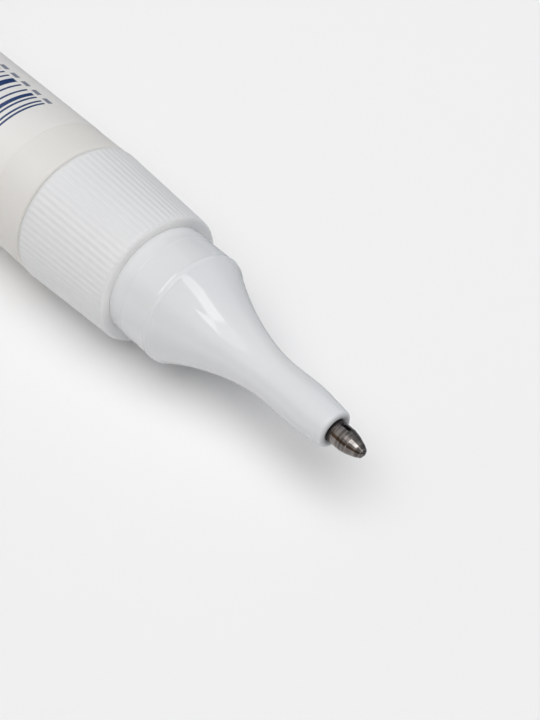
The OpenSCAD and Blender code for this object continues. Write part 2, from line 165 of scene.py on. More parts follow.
def skin(name, grid, poles=False):
    """A closed mesh over a grid in millimetres, as a ring or, with poles, as a vessel.

    Each face takes a point, the next one along its row's profile, and their two neighbours in the
    next column, in the order that makes it face outwards when the outside runs towards +X."""
    rows, sides = grid.shape[:2]
    points = grid.reshape(-1, 3)
    index = np.arange(rows * sides).reshape(rows, sides)
    here, ahead = index, np.roll(index, -1, axis=0)
    if poles:
        points = np.vstack([grid[0, :1], grid[1:-1].reshape(-1, 3), grid[-1, :1]])
        index = np.arange(len(points) - 2).reshape(-1, sides) + 1
        here, ahead = index[:-1], index[1:]
    quads = np.stack([here, ahead, np.roll(ahead, -1, axis=1), np.roll(here, -1, axis=1)], axis=-1)
    faces = quads.reshape(-1, 4).tolist()
    if poles:
        start, stop = np.zeros(sides, int), np.full(sides, len(points) - 1)
        faces += np.stack([start, index[0], np.roll(index[0], -1)], axis=-1).tolist()
        faces += np.stack([index[-1], stop, np.roll(index[-1], -1)], axis=-1).tolist()
    mesh = bpy.data.meshes.new(name)
    mesh.from_pydata((points * MM).tolist(), [], faces)
    mesh.shade_smooth()
    piece = bpy.data.objects.new(name, mesh)
    bpy.context.scene.collection.objects.link(piece)
    print(f"{name}: {len(points)} points, {sum(len(f) - 2 for f in faces)} triangles")
    return piece


def dress(piece, body, material, node=None):
    """Gives a piece its finish, lets it ride on its body and hides the solid that it stands for."""
    piece.data.materials.append(material)
    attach(piece, body)
    if node:
        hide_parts(node)

# %% [markdown]
# ## Node helpers
# Finishes are node trees. Wiring them by hand in the Shader Editor is the usual way, and these few
# helpers do the same wiring in code: feed a socket with a number or with another socket, add the nodes
# that every finish here needs, find a point's place on the pen, and paint over a finish.

# %% Node helpers
def feed(tree, socket, value):
    """Links a socket to another one, or sets its own value."""
    if isinstance(value, bpy.types.NodeSocket):
        tree.links.new(value, socket)
    else:
        socket.default_value = value


def maths(tree, operation, *values):
    """The result of one Math node."""
    node = tree.nodes.new("ShaderNodeMath")
    node.operation = operation
    for socket, value in zip(node.inputs, values):
        feed(tree, socket, value)
    return node.outputs[0]


def between(tree, value, low, high, to_low=0.0, to_high=1.0, smooth=True):
    """A value carried from one range to another, held at its ends, with a soft start and stop."""
    node = tree.nodes.new("ShaderNodeMapRange")
    node.interpolation_type = "SMOOTHSTEP" if smooth else "LINEAR"
    for socket, number in zip(node.inputs, (value, low, high, to_low, to_high)):
        feed(tree, socket, number)
    return node.outputs[0]


def noise(tree, vector, scale, detail=2.0):
    """Soft noise between 0 and 1. Scale counts its lumps to the metre."""
    node = tree.nodes.new("ShaderNodeTexNoise")
    feed(tree, node.inputs["Vector"], vector)
    feed(tree, node.inputs["Scale"], scale)
    feed(tree, node.inputs["Detail"], detail)
    return node.outputs["Fac"]


def blend_colours(tree, share, first, second):
    """First colour where share is 0, second where it is 1."""
    node = tree.nodes.new("ShaderNodeMix")
    node.data_type = "RGBA"
    feed(tree, node.inputs["Factor"], share)
    feed(tree, node.inputs[6], first)
    feed(tree, node.inputs[7], second)
    return node.outputs[2]


def own_place(tree, stretch=(1, 1, 1)):
    """Where a point lies in the piece's own coordinates, stretched along each axis."""
    where = tree.nodes.new("ShaderNodeTexCoord").outputs["Object"]
    mapping = tree.nodes.new("ShaderNodeMapping")
    feed(tree, mapping.inputs["Vector"], where)
    mapping.inputs["Scale"].default_value = stretch
    return mapping.outputs["Vector"]


def pen_place(tree):
    """A point's place: millimetres ahead of the collar's rear edge, metres across and above the axis."""
    split = tree.nodes.new("ShaderNodeSeparateXYZ")
    feed(tree, split.inputs[0], own_place(tree))
    ahead = maths(tree, "MULTIPLY_ADD", split.outputs["X"], 1 / MM, -collar_x)
    return ahead, split.outputs["Y"], maths(tree, "SUBTRACT", split.outputs["Z"], axis_z * MM)


def repaint(material, share, colour):
    """Blends a finish's colour with another one: its own where share is 0, the other where it is 1."""
    tree = material.node_tree
    socket = tree.nodes["Principled BSDF"].inputs["Base Color"]
    feed(tree, socket, blend_colours(tree, share, socket.links[0].from_socket, colour))


def effect(name, inputs, outputs):
    """An empty shader node group with named inputs and outputs, its input node and its output node."""
    group = bpy.data.node_groups.new(name, "ShaderNodeTree")
    for socket_name, kind in inputs.items():
        group.interface.new_socket(socket_name, in_out="INPUT", socket_type=kind)
    for socket_name, kind in outputs.items():
        group.interface.new_socket(socket_name, in_out="OUTPUT", socket_type=kind)
    return group, group.nodes.new("NodeGroupInput"), group.nodes.new("NodeGroupOutput")


def use(tree, group, **values):
    """Places a group in a material and feeds its inputs. An underscore stands for a space."""
    node = tree.nodes.new("ShaderNodeGroup")
    node.node_tree = group
    for name, value in values.items():
        feed(tree, node.inputs[name.replace("_", " ")], value)
    return node.outputs


NUMBER, COLOUR = "NodeSocketFloat", "NodeSocketColor"

# %% [markdown]
# ## Effects that several finishes share
# Moulded plastic is never one flat colour: the melt leaves soft clouds in its tone and gloss, and the
# mould's steel leaves a fine grain. Handling adds hairline scuffs, and a lathe leaves rings round the
# axis. Each is a node group, so one change here reaches every piece that has it.

# %% Moulded skin
cloud_lumps, cloud_limits = 90.0, (0.35, 0.65)
melt_lumps, melt_limits = 420.0, (0.3, 0.7)
moulded, given, result = effect(
    "moulded_skin",
    {"Colour": COLOUR, "Cloud Colour": COLOUR, "Glossiest": NUMBER, "Dullest": NUMBER, "Grain Scale": NUMBER},
    {"Colour": COLOUR, "Roughness": NUMBER, "Height": NUMBER})
place = own_place(moulded)
cloud = between(moulded, noise(moulded, place, cloud_lumps, 3.0), *cloud_limits)
feed(moulded, result.inputs["Colour"],
     blend_colours(moulded, cloud, given.outputs["Colour"], given.outputs["Cloud Colour"]))
melt = between(moulded, noise(moulded, place, melt_lumps), *melt_limits,
               given.outputs["Glossiest"], given.outputs["Dullest"])
feed(moulded, result.inputs["Roughness"], melt)
feed(moulded, result.inputs["Height"], noise(moulded, place, given.outputs["Grain Scale"]))
print("moulded_skin:", len(moulded.nodes), "nodes")

# %% Hairline scuffs
along_lumps, along_stretch, along_limits = 5200.0, (0.12, 1, 1), (0.66, 0.74)
across_lumps, across_stretch, across_limits = 4100.0, (1, 0.16, 0.16), (0.68, 0.76)
patch_lumps, patch_limits = 160.0, (0.45, 0.7)
scuffs, given, result = effect("hairline_scuffs", {"Amount": NUMBER}, {"Scuff": NUMBER})
along = noise(scuffs, own_place(scuffs, along_stretch), along_lumps, 1.0)
across = noise(scuffs, own_place(scuffs, across_stretch), across_lumps, 1.0)
patches = between(scuffs, noise(scuffs, own_place(scuffs), patch_lumps, 1.0), *patch_limits)
lines = maths(scuffs, "MAXIMUM", between(scuffs, along, *along_limits),
              between(scuffs, across, *across_limits))
feed(scuffs, result.inputs["Scuff"],
     maths(scuffs, "MULTIPLY", maths(scuffs, "MULTIPLY", lines, patches), given.outputs["Amount"]))
print("hairline_scuffs:", len(scuffs.nodes), "nodes")

# %% Turned rings
ring_stretch, ring_limits = (1, 0.02, 0.02), (0.35, 0.65)
smudge_lumps, smudge_limits = 1500.0, (0.4, 0.7)
rings, given, result = effect("turned_rings", {"Rings per Metre": NUMBER},
                              {"Ring": NUMBER, "Smudge": NUMBER, "Height": NUMBER})
ring_tone = noise(rings, own_place(rings, ring_stretch), given.outputs["Rings per Metre"], 3.0)
smudge = noise(rings, own_place(rings), smudge_lumps, 3.0)
feed(rings, result.inputs["Ring"], between(rings, ring_tone, *ring_limits))
feed(rings, result.inputs["Smudge"], between(rings, smudge, *smudge_limits))
feed(rings, result.inputs["Height"], ring_tone)
print("turned_rings:", len(rings.nodes), "nodes")

# %% [markdown]
# ## Plastics and metals
# One function makes every plastic, because they differ only in their tones, their gloss and their
# grain. Bump gives the grain its height, in metres, and the constants sit on the shader itself.

# %% Finish makers
SCUFF_DULLING = 0.3  # what a full scuff adds to the roughness


def start_material(name):
    """A new material, its node tree and its shader."""
    material = bpy.data.materials.new(name)
    material.use_nodes = True
    return material, material.node_tree, material.node_tree.nodes["Principled BSDF"]


def raise_grain(tree, shader, height, depth_mm):
    """Bends the shader's normal by a height map of that depth."""
    bump = tree.nodes.new("ShaderNodeBump")
    bump.inputs["Distance"].default_value = depth_mm * MM
    feed(tree, bump.inputs["Height"], height)
    feed(tree, shader.inputs["Normal"], bump.outputs["Normal"])


def plastic(name, colour, cloud_colour, glossiest, dullest, grain_scale, grain_mm, scuff_amount=0.4):
    """Moulded plastic: clouded colour, uneven gloss, a fine grain and duller hairline scuffs."""
    material, tree, shader = start_material(name)
    surface = use(tree, moulded, Colour=(*colour, 1), Cloud_Colour=(*cloud_colour, 1),
                  Glossiest=glossiest, Dullest=dullest, Grain_Scale=grain_scale)
    scuff = use(tree, scuffs, Amount=scuff_amount)["Scuff"]
    feed(tree, shader.inputs["Base Color"], surface["Colour"])
    feed(tree, shader.inputs["Roughness"],
         maths(tree, "MULTIPLY_ADD", scuff, SCUFF_DULLING, surface["Roughness"]))
    raise_grain(tree, shader, surface["Height"], grain_mm)
    shader.inputs["IOR"].default_value = 1.5
    return material


def metal(name, colour, dark_colour, glossiest, dullest, rings_per_mm, ring_mm):
    """Turned metal: rings in its tone and height, and smudges in its gloss."""
    material, tree, shader = start_material(name)
    marks = use(tree, rings, Rings_per_Metre=rings_per_mm / MM)
    feed(tree, shader.inputs["Base Color"],
         blend_colours(tree, marks["Ring"], (*dark_colour, 1), (*colour, 1)))
    feed(tree, shader.inputs["Roughness"], between(tree, marks["Smudge"], 0, 1, glossiest, dullest))
    raise_grain(tree, shader, marks["Height"], ring_mm)
    shader.inputs["Metallic"].default_value = 1.0
    return material


# %% Finishes
bottle_plastic = plastic("bottle_plastic", (0.725, 0.71, 0.682), (0.71, 0.69, 0.66), glossiest=0.36,
                         dullest=0.46, grain_scale=2600.0, grain_mm=0.004)
collar_plastic = plastic("collar_plastic", (0.73, 0.735, 0.74), (0.715, 0.72, 0.73), glossiest=0.3,
                         dullest=0.38, grain_scale=5200.0, grain_mm=0.004)
nozzle_plastic = plastic("nozzle_plastic", (0.715, 0.725, 0.735), (0.7, 0.715, 0.73), glossiest=0.03,
                         dullest=0.05, grain_scale=1500.0, grain_mm=0.0003, scuff_amount=0.1)
cap_plastic = plastic("cap_plastic", (0.018, 0.05, 0.24), (0.015, 0.043, 0.21), glossiest=0.14,
                      dullest=0.2, grain_scale=1800.0, grain_mm=0.0015, scuff_amount=0.6)
seal_rubber = plastic("seal_rubber", (0.55, 0.55, 0.54), (0.5, 0.5, 0.49), glossiest=0.6,
                      dullest=0.75, grain_scale=4200.0, grain_mm=0.01)
wet_fluid = plastic("wet_fluid", (0.86, 0.86, 0.85), (0.84, 0.84, 0.83), glossiest=0.1,
                    dullest=0.25, grain_scale=700.0, grain_mm=0.02, scuff_amount=0.0)
tip_metal = metal("tip_metal", (0.26, 0.235, 0.225), (0.11, 0.098, 0.093), glossiest=0.03,
                  dullest=0.1, rings_per_mm=3.5, ring_mm=0.004)
bright_steel = metal("bright_steel", (0.56, 0.56, 0.58), (0.46, 0.46, 0.48), glossiest=0.1,
                     dullest=0.2, rings_per_mm=9.0, ring_mm=0.001)
ball_steel = metal("ball_steel", (0.16, 0.15, 0.145), (0.12, 0.11, 0.11), glossiest=0.05,
                   dullest=0.12, rings_per_mm=30.0, ring_mm=0.0005)
print("finishes:", ", ".join(sorted(m.name for m in bpy.data.materials if m.use_nodes)))

# %% [markdown]
# ## The bottle
# The bottle is blown from a soft cream plastic with its threaded neck moulded on. One vessel holds the
# outside, the neck and the inside, because a real wall has both. The thread could be a separate coil,
# but as a height on the neck's own grid it grows out of the wall without a joint: at each angle the
# ridge's middle climbs by the pitch for each turn, and its sides slope down to the root. In this
# profile and in those that follow, the third number of a row is the rounding of that corner.

# %% Thread
neck_r, crest_r, thread_pitch, thread_turns = 7.35, 7.82, 3.0, 1.25
thread_root_w, thread_crest_w, thread_fade = 1.1, 0.6, 0.12
neck_thread_start = 2.6


def thread_height(x, angle, start):
    """Height of a thread's ridge as a share of its full height.

    The ridge's middle stands at start + pitch * turns, with turns counted against the angle from the
    underside. The height falls from 1 at half the crest's width to 0 at half the root's, and fades at
    both ends of the thread."""
    turns = ((np.pi - angle) / (2 * np.pi)) % 1 + np.arange(2)[:, None, None]
    away = np.abs(x[None] - start - thread_pitch * turns)
    slope = (thread_root_w / 2 - away) / ((thread_root_w - thread_crest_w) / 2)
    fade = np.minimum(turns, thread_turns - turns) / thread_fade
    return np.clip(np.minimum(slope, fade), 0, 1).max(axis=0)


# %% Bottle
bottle_r, bottle_bore_r, shoulder = 9.0, 7.9, -0.15
post_r, post_end_r, post_bore_r, bottle_back = 7.08, 6.98, 5.98, cap_mouth + 0.02
neck_bore_r, slope_near, slope_far, post_floor = 5.95, 1.1, 3.6, post_back + 1.2
outline = rounded([
    (post_back, 0, 0), (post_back, post_end_r, 0.5), (bottle_back, post_r, 0.15),
    (bottle_back, bottle_r, 0.6), (shoulder, bottle_r, 0.6), (shoulder, neck_r, 0.2),
    (neck_front, neck_r, 0.25), (neck_front, neck_bore_r, 0.25), (shoulder - slope_near, neck_bore_r, 0.6),
    (shoulder - slope_far, bottle_bore_r, 1.0), (bottle_back + slope_far, bottle_bore_r, 1.0),
    (bottle_back + slope_near, post_bore_r, 0.6), (post_floor, post_bore_r, 0.5), (post_floor, 0, 0)])
middle = (outline[1:, 1] + outline[:-1, 1]) / 2
on_neck = np.abs(middle - neck_r) < CLOSE
on_body = middle > bottle_bore_r + 0.1
outline = resample(outline, np.select([on_neck, on_body], [0.12, 0.6], 2.0))


def neck_thread(x, r, angle):
    """The thread's ridge, on the neck's outside only."""
    on_outside = (np.abs(r - neck_r) < CLOSE) & (x > shoulder + 0.5)
    return (crest_r - neck_r) * thread_height(x, angle, neck_thread_start) * on_outside


bottle_body = skin("bottle_body", turned(outline, even_angles(192), neck_thread), poles=True)
dress(bottle_body, "bottle", bottle_plastic, "bottle")

# %% [markdown]
# ## The label
# The label is a film wrapped once round the bottle, so it is a tube a twentieth of a millimetre thick,
# which thins out at both ends where it was shrunk on. Its one visible seam is the lap on the
# underside, where the film lies over its own start and stands a little higher. The height rises
# sharply at the film's cut edge and sinks away slowly.

# %% Label film
film_in_r, film_edge_r, film_out_r, film_thinning = 9.002, 9.009, 9.045, 0.35
lap_start, lap_width, lap_rise, lap_steepness = np.radians(140), np.radians(26), 0.03, 12
film = rounded([
    (label_back, film_in_r, 0.002), (label_back, film_edge_r, 0.004),
    (label_back + film_thinning, film_out_r, 0.8), (label_front - film_thinning, film_out_r, 0.8),
    (label_front, film_edge_r, 0.004), (label_front, film_in_r, 0.002)], steps=4)


def film_lap(x, r, angle):
    """Rise of the lapped film: steep at its cut edge, then a slow fall over the lap's width."""
    into = (angle - lap_start) / lap_width
    height = lap_rise * np.clip(into * lap_steepness, 0, 1) * np.clip(1 - into, 0, 1)
    return height * (r > film_out_r - 0.02)


label_film = skin("label_film", turned(resample(closed(film), 2.0)[:-1], even_angles(360), film_lap))

# %% [markdown]
# ## The print on the label
# The print is a block of navy stripes that run round the bottle, with a row of short dashes beside
# it. Stripes could be geometry, but ink has no thickness, so they are a mask in the
# material. The film is divided into equal modules along the pen, and a noise value for each module
# says whether it is inked. So the stripes vary in width like a retail print, and mean nothing. A navy
# band and a thin line run round the label near its rear end.

# %% Label print
stripe_front, stripe_module, stripe_count, stripe_seed = -10.45, 0.308, 95, 2157
stripe_from, stripe_to, stripe_chance = np.radians(-19), np.radians(23), 0.5
dash_from, dash_to, dash_modules = np.radians(26), np.radians(30.5), 7
dash_length, dash_ink = 0.6, 0.75
band_front, band_back = -54.5, -61.5
line_front, line_back = -52.9, -53.5
navy, navy_worn = (0.010, 0.034, 0.120, 1), (0.016, 0.046, 0.150, 1)
worn_lumps, worn_limits = 2600.0, (0.35, 0.75)


def inside(tree, value, low, high):
    """1 between two limits, and 0 outside them."""
    above = maths(tree, "GREATER_THAN", value, low)
    return maths(tree, "MULTIPLY", above, maths(tree, "LESS_THAN", value, high))


def print_label(material):
    """Prints a stripe block, a row of dashes and a rear band on a film, all in the same navy ink."""
    tree = material.node_tree
    ahead, across, height = pen_place(tree)
    angle = maths(tree, "ARCTAN2", across, height)
    module = maths(tree, "DIVIDE", maths(tree, "SUBTRACT", stripe_front, ahead), stripe_module)
    in_length = inside(tree, module, 0, stripe_count)
    chance = tree.nodes.new("ShaderNodeTexWhiteNoise")
    chance.noise_dimensions = "1D"
    feed(tree, chance.inputs["W"], maths(tree, "ADD", maths(tree, "FLOOR", module), stripe_seed))
    inked = maths(tree, "LESS_THAN", chance.outputs["Value"], stripe_chance)
    in_block = maths(tree, "MULTIPLY", in_length, inside(tree, angle, stripe_from, stripe_to))
    stripes = maths(tree, "MULTIPLY", inked, in_block)
    dash_place = maths(tree, "FRACT", maths(tree, "DIVIDE", module, dash_modules))
    in_row = maths(tree, "MULTIPLY", in_length, inside(tree, angle, dash_from, dash_to))
    dashes = maths(tree, "MULTIPLY", maths(tree, "LESS_THAN", dash_place, dash_length), in_row)
    pale_dashes = maths(tree, "MULTIPLY", dashes, dash_ink)
    band = maths(tree, "MAXIMUM", inside(tree, ahead, band_back, band_front),
                 inside(tree, ahead, line_back, line_front))
    ink = maths(tree, "MAXIMUM", maths(tree, "MAXIMUM", stripes, pale_dashes), band)
    worn = between(tree, noise(tree, own_place(tree), worn_lumps, 3.0), *worn_limits)
    repaint(material, ink, blend_colours(tree, worn, navy, navy_worn))


printed_film = plastic("printed_film", (0.75, 0.74, 0.72), (0.735, 0.72, 0.697), glossiest=0.3,
                       dullest=0.4, grain_scale=2200.0, grain_mm=0.003)
print_label(printed_film)
dress(label_film, "bottle", printed_film, "label_sleeve")

# %% [markdown]
# ## The screw collar
# The collar is a tapered ring with fine grip ribs that run to its front edge. The ribs could be an array
# of small solids, but a rib is only a height that repeats with the angle, with ten columns to each
# pitch. At the front the grooves run out over the edge's small rounding, so each rib ends in a round
# nose. The real plastic lets light through at this thin edge, which an opaque finish can't, so the edge
# is painted paler on the side that the light comes from. The inside holds the other half of the thread.

# %% Collar profile
collar_r, collar_front_r = 9.13, 8.33
lip_round, lip_bore_r, lip_back = 0.5, 7.025, collar_front - 1.66
flange_room_r, collar_root_r, collar_minor_r = 7.52, 7.95, 7.48
rib_count, rib_columns, rib_depth, groove_share = 72, 10, 0.048, 0.85
rib_back, rib_fade, rib_full = 0.3, 0.25, 0.7
nose_drop = 0.36 * lip_round
collar_thread_start = neck_thread_start - thread_pitch / 2
taper = (collar_r - collar_front_r) / collar_front


def on_taper(x):
    """A corner on the collar's straight outside, with no rounding."""
    return x, collar_r - taper * x, 0


inside_half = rounded([
    (collar_front, collar_front_r, 0), (collar_front, lip_bore_r, 0.02), (lip_back, lip_bore_r, 0.1),
    (lip_back, flange_room_r, 0.1), (neck_front, flange_room_r, 0.1), (neck_front, collar_root_r, 0.1),
    (0, collar_root_r, 0.2), (0, collar_r, 0)], steps=3)
outside_half = rounded([
    (0, collar_root_r, 0), (0, collar_r, 0.3), on_taper(rib_back), on_taper(rib_full),
    (collar_front, collar_front_r, lip_round), (collar_front, lip_bore_r, 0)], steps=14)
ring = np.vstack([inside_half[1:-1], outside_half[1:-1]])
leg_x, leg_r = ((closed(ring)[1:] + closed(ring)[:-1]) / 2).T
at_rib_ends = (leg_r > collar_root_r) & (leg_x < rib_full)
on_thread = np.abs(leg_r - collar_root_r) < CLOSE
ring = resample(closed(ring), np.select([at_rib_ends, on_thread], [0.05, 0.25], 1.2))[:-1]
print("collar profile:", len(ring), "points")

# %% Ribs and thread
def soft_step(t):
    """0 below 0, 1 above 1, and 3t^2 - 2t^3 between."""
    t = np.clip(t, 0, 1)
    return t * t * (3 - 2 * t)


def collar_relief(x, r, angle):
    """Grip grooves and thread as heights on the collar's profile.

    Across one pitch a groove is a raised cosine, (1 + cos) / 2 over its share of the pitch. It fades in
    at the rear, and in front it runs out half way over the lip's rounding."""
    share = (angle * rib_count / (2 * np.pi)) % 1 - 0.5
    wave = (1 + np.cos(2 * np.pi * share / groove_share)) / 2
    groove = np.where(np.abs(share) < groove_share / 2, wave, 0)
    begun = soft_step((x - rib_back) / rib_fade)
    on_outside = soft_step((r - collar_front_r + nose_drop) / (0.7 * nose_drop))
    ribs = rib_depth * groove * begun * on_outside
    thread = thread_height(x, angle, collar_thread_start) * (np.abs(r - collar_root_r) < CLOSE)
    return -ribs - (collar_root_r - collar_minor_r) * thread


# %% Collar
light_up, light_across, light_limits = 0.87, -0.49, (0.2, 0.7)
edge_glow_share, edge_past, edge_end = 0.3, 0.1, 0.3
edge_glow_colour = (0.93, 0.925, 0.915, 1)


def paint_edge_glow(material, start, stop):
    """Paints light into a finish: paler from one place on the axis to another, and plain again a little
    further on.

    Only the lit side is painted. It is where light_up times the height plus light_across times the
    distance across, both as shares of the edge's radius, passes the limits."""
    tree = material.node_tree
    ahead, across, height = pen_place(tree)
    lit = maths(tree, "MULTIPLY_ADD", height, light_up / (collar_front_r * MM),
                maths(tree, "MULTIPLY", across, light_across / (collar_front_r * MM)))
    share = maths(tree, "MULTIPLY", between(tree, ahead, start, stop, smooth=False),
                  between(tree, ahead, stop + edge_past, stop + edge_end, 1.0, 0.0))
    repaint(material, maths(tree, "MULTIPLY", share, between(tree, lit, *light_limits)), edge_glow_colour)


# Painted light: the lit side of the collar's front edge is painted paler, for the glow of light through the
# thin plastic.
paint_edge_glow(collar_plastic, collar_front - edge_glow_share * lip_round, collar_front)
grip_collar = skin("grip_collar", turned(ring, even_angles(rib_count * rib_columns), collar_relief))
dress(grip_collar, "screw_collar", collar_plastic, "screw_collar")

# %% [markdown]
# ## The nozzle
# The nozzle is one glossy moulding: a skirt and a flange under the collar, a seat band for the cap, a
# bead, a bell and a snout that swells slightly, tapers again and ends in a round rim with a funnel
# inside it. The bell is one Bezier curve, whose two middle points say how it leaves the bead and how
# it runs out into the snout, because such a curve has no flat spots to break a reflection. A low ring
# on the seat band holds the cap. The plastic lets some light through, and round the hole the metal
# takes that light away and shades it, so shade is painted into the finish there, darker towards the axis.

# %% Nozzle profile
skirt_r, skirt_bore_r = 5.85, 4.95
flange_r, flange_back, flange_front = 7.42, 11.06, 12.46
seat_r, seat_relief, seat_start, seat_end = 7.02, 0.03, collar_front - 0.6, 19.84
ring_x, ring_rise, ring_w, ring_reach = 16.2, 0.03, 0.09, 0.3
bead_x, bead_r = 20.14, 7.08
bell_corners = np.array([(20.60, 6.97), (21.0, 6.52), (28.0, 2.58), (34.4, 2.58)])
swell_x, swell_r, taper_x, taper_round = 38.2, 2.66, 39.0, 14.0
snout_edge_r, snout_round, rim_r, rim_round = 2.236, 0.55, 1.72, 0.25
funnel_r, funnel_start, hole_r, funnel_depth = 1.5, 0.07, 1.345, 0.14
funnel_round, hole_round, chamber_r, nozzle_wall = 0.3, 0.1, 1.55, 1.05

t = np.linspace(0, 1, 73)[:, None]
weights = np.hstack([(1 - t) ** 3, 3 * (1 - t) ** 2 * t, 3 * (1 - t) * t ** 2, t ** 3])
bell = weights @ bell_corners
neck_x, snout_r = bell_corners[-1]
u = np.linspace(0, 1, 13)[1:]
swell = np.column_stack([neck_x + (swell_x - neck_x) * u,
                         snout_r + (swell_r - snout_r) * (1 - np.cos(np.pi * u)) / 2])
nose = rounded([
    (swell_x, swell_r, 0), (taper_x, swell_r, taper_round), (snout_front, snout_edge_r, snout_round),
    (snout_front, rim_r, rim_round), (snout_front - funnel_start, funnel_r, funnel_round),
    (snout_front - funnel_depth, hole_r, hole_round), (shank_back, hole_r, 0)], steps=10)[1:]
base = rounded([
    (skirt_back, skirt_bore_r, 0), (skirt_back, skirt_r, 0.25), (flange_back, skirt_r, 0.15),
    (flange_back, flange_r, 0.12), (flange_front, flange_r, 0.12), (flange_front, seat_r - seat_relief, 0.1),
    (seat_start, seat_r, 0.3), (ring_x - ring_reach, seat_r, 0), (ring_x + ring_reach, seat_r, 0),
    (seat_end, seat_r, 0.4), (bead_x, bead_r, 0.15), (*bell[0], 0.3), (*bell[5], 0)])
on_ring = np.abs((base[1:, 0] + base[:-1, 0]) / 2 - ring_x) < 0.1
base = resample(base, np.select([on_ring, base[1:, 0] > seat_start], [0.025, 0.25], 0.6))
bore = np.column_stack([bell[::-4, 0], np.maximum(chamber_r, bell[::-4, 1] - nozzle_wall)])
nozzle_outline = np.vstack([base, bell[6:], swell, resample(nose, 0.4), [(shank_back, chamber_r)], bore,
                            [(flange_front, skirt_bore_r)]])
print("nozzle profile:", len(nozzle_outline), "points")

# %% Nozzle
rim_shade_fade, rim_shade_depth, rim_shade_colour = (1.4, 2.25), (0.6, 0.15), (0.25, 0.255, 0.26, 1)


def seat_ring(x, r, angle):
    """The cap's holding ring: a bell curve along the axis, on the seat band only."""
    return ring_rise * np.exp(-((x - ring_x) / ring_w) ** 2) * (r > seat_r - 0.05) + 0 * angle


def paint_rim_shade(material):
    """Paints shade into a finish at the snout's end, darker towards the axis.

    The radius is the root of height squared plus across squared."""
    tree = material.node_tree
    ahead, across, height = pen_place(tree)
    squares = maths(tree, "MULTIPLY_ADD", height, height, maths(tree, "POWER", across, 2.0))
    radius = maths(tree, "DIVIDE", maths(tree, "SQRT", squares), MM)
    at_end = between(tree, ahead, snout_front - rim_shade_depth[0], snout_front - rim_shade_depth[1])
    share = maths(tree, "MULTIPLY", between(tree, radius, *rim_shade_fade, 1.0, 0.0, smooth=False), at_end)
    repaint(material, share, rim_shade_colour)


# Painted shade round the hole, where the metal tip shades the snout's end.
paint_rim_shade(nozzle_plastic)
gloss_nozzle = skin("gloss_nozzle", turned(nozzle_outline, even_angles(320), seat_ring))
dress(gloss_nozzle, "nozzle", nozzle_plastic, "nozzle")

# %% [markdown]
# ## The metal tip
# The tip is turned from a rod of nickel-plated brass: a straight shank with one fine groove, a cone and a
# thin lip that holds the ball. A lathe makes it from a profile, and so does this cell. The lip and the
# groove are rounded by a few hundredths of a millimetre, which is what draws their thin bright lines. A
# shallow turned step marks the place where the cone's slope changes.

# %% Metal tip
tip_r, groove_x, groove_depth, groove_w = 1.33, 43.5, 0.07, 0.14
cone_start, cone_break, cone_break_r, cone_end, cone_end_r = 44.65, 45.35, 1.19, 46.42, 0.85
step_foot, step_head, step_round = (0.04, -0.04), (0.1, -0.02), 0.015
lip_r, ball_mouth_r, ball_room_r, rod_bore_r = 0.56, 0.44, 0.53, 0.6
ball_room_back, ball_seat = 45.8, 46.8
tip_outline = rounded([
    (shank_back, rod_bore_r, 0.05), (shank_back, tip_r, 0.12), (groove_x - groove_w, tip_r, 0.04),
    (groove_x - groove_w / 2, tip_r - groove_depth, 0.02),
    (groove_x + groove_w / 2, tip_r - groove_depth, 0.02), (groove_x + groove_w, tip_r, 0.04),
    (cone_start, tip_r, 0.06), (cone_break, cone_break_r, 0.02),
    (cone_break + step_foot[0], cone_break_r + step_foot[1], step_round),
    (cone_break + step_head[0], cone_break_r + step_head[1], step_round), (cone_end, cone_end_r, 0.03),
    (tip_front, lip_r, 0.03), (tip_front, ball_mouth_r, 0.02), (ball_seat, ball_room_r, 0.03),
    (ball_room_back, ball_room_r, 0.02), (ball_room_back, rod_bore_r, 0.02)])
tip_outline = resample(closed(tip_outline), 0.25)[:-1]
turned_tip = skin("turned_tip", turned(tip_outline, even_angles(192)))
dress(turned_tip, "nozzle", tip_metal, "tip_cone")

# %% Writing ball
ball_mid, ball_r = (ball_back + ball_front) / 2, (ball_front - ball_back) / 2
sweep = np.linspace(0, np.pi, 41)
ball_outline = np.column_stack([ball_mid - ball_r * np.cos(sweep), ball_r * np.sin(sweep)])
rolling_ball = skin("rolling_ball", turned(ball_outline, even_angles(64)), poles=True)
dress(rolling_ball, "valve_stem", ball_steel, "writing_ball")

# %% [markdown]
# ## The cap
# The cap is a tapered cup, pushed over the post at the bottle's rear end. It is a vessel like the
# bottle, with its inside. A shallow line runs round it near the mouth, and the closed end has the small
# round mark that a mould's gate leaves.

# %% Cap body
cap_mouth_r, cap_end_r, cap_round = 8.28, 7.58, 1.4
cap_seat_r, cap_seat_len, cap_in_r, cap_floor = 7.13, 8.0, 6.46, cap_end + 1.5
gate_r, gate_slope, gate_depth = 1.2, 0.2, 0.15
line_x, line_depth, line_w = cap_mouth - 3.2, 0.12, 0.3
line_r = cap_mouth_r - (cap_mouth_r - cap_end_r) * (cap_mouth - line_x) / (cap_mouth - cap_end)
cup = rounded([
    (cap_end + gate_depth, 0, 0), (cap_end + gate_depth, gate_r, 0.1), (cap_end, gate_r + gate_slope, 0.15),
    (cap_end, cap_end_r, cap_round), (line_x - line_w, line_r, 0.1),
    (line_x - line_w / 2, line_r - line_depth, 0.08), (line_x + line_w / 2, line_r - line_depth, 0.08),
    (line_x + line_w, line_r, 0.1),
    (cap_mouth, cap_mouth_r, 0.3), (cap_mouth, cap_seat_r, 0.25), (cap_mouth - cap_seat_len, cap_seat_r, 0.5),
    (cap_floor, cap_in_r, 0.5), (cap_floor, 0, 0)], steps=8)
cap_body = skin("cap_body", turned(resample(cup, 1.0), even_angles(192)), poles=True)
dress(cap_body, "cap", cap_plastic, "cap_shell")

# %% [markdown]
# ## The cap's clip
# The clip is a springy bar beside the cap, with a root that grows out of the wall and a small nub that
# grips a pocket. It could be a bevelled box with bits added, but one loft does it: at each station
# along the bar the section is a rounded rectangle, whose outer side stays put while its inner side
# follows a profile, low at the root, high along the bar and low again at the nub. At both ends the
# section shrinks along a quarter circle, so every edge is rounded.

